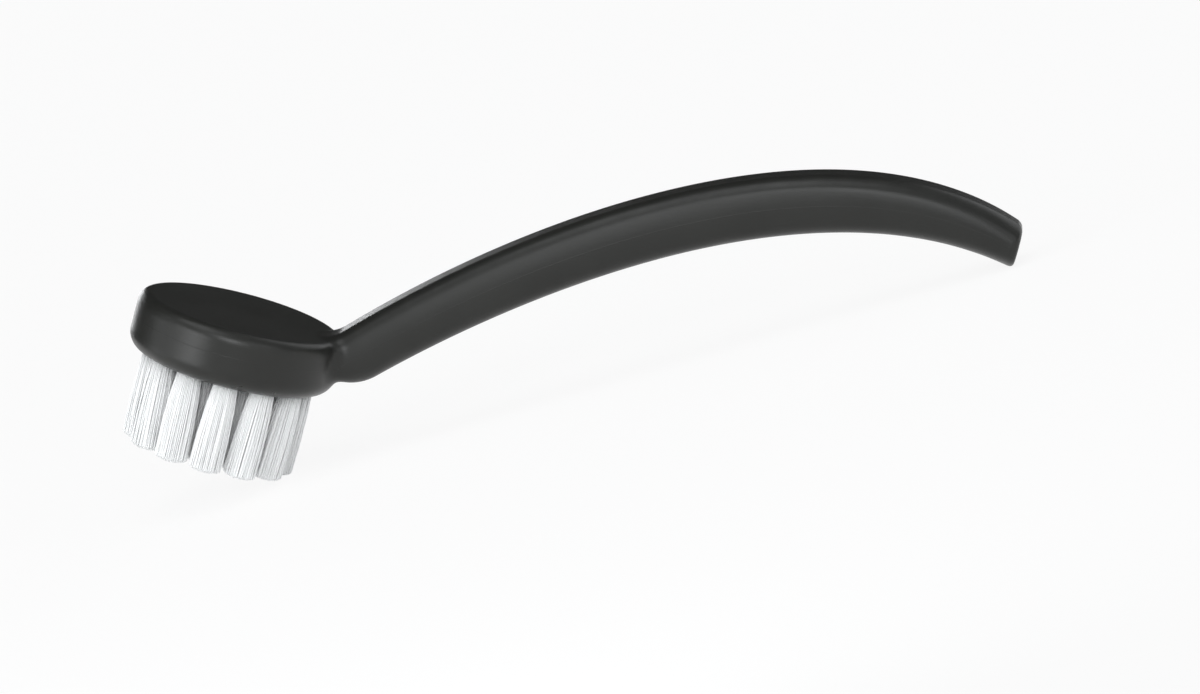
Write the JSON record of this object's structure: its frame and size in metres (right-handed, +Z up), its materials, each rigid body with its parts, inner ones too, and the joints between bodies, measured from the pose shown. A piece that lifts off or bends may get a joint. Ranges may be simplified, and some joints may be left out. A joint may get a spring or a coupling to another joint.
{
  "type": "juicer cleaning brush",
  "caption": "Small cleaning brush with a round flat head, an arched bar handle and short stiff tufts, for scrubbing the sieve and the parts of a juicer.",
  "frame": {"origin": "on the table, under the middle of the brush as it lies at rest on the edge of its bristles and the tip of its handle", "axes": "+X along the brush from the head to the tip of the handle, +Y across the head, +Z up from the table"},
  "size_m": [0.1836, 0.042, 0.0447],
  "materials": {
    "body_plastic": "satin black, moulded",
    "bristle_nylon": "translucent white nylon",
    "anchor_wire": "plain drawn wire"
  },
  "bodies": {
    "root": {"brush_body": "body_plastic", "tuft_centre": "bristle_nylon", "tufts_inner_ring": "bristle_nylon", "tufts_outer_ring": "bristle_nylon", "tuft_anchor_01": "anchor_wire", "tuft_anchor_02": "anchor_wire", "tuft_anchor_03": "anchor_wire", "tuft_anchor_04": "anchor_wire", "tuft_anchor_05": "anchor_wire", "tuft_anchor_06": "anchor_wire", "tuft_anchor_07": "anchor_wire", "tuft_anchor_08": "anchor_wire", "tuft_anchor_09": "anchor_wire", "tuft_anchor_10": "anchor_wire", "tuft_anchor_11": "anchor_wire", "tuft_anchor_12": "anchor_wire", "tuft_anchor_13": "anchor_wire", "tuft_anchor_14": "anchor_wire", "tuft_anchor_15": "anchor_wire", "tuft_anchor_16": "anchor_wire", "tuft_anchor_17": "anchor_wire", "tuft_anchor_18": "anchor_wire", "tuft_anchor_19": "anchor_wire"}
  },
  "joints": []
}
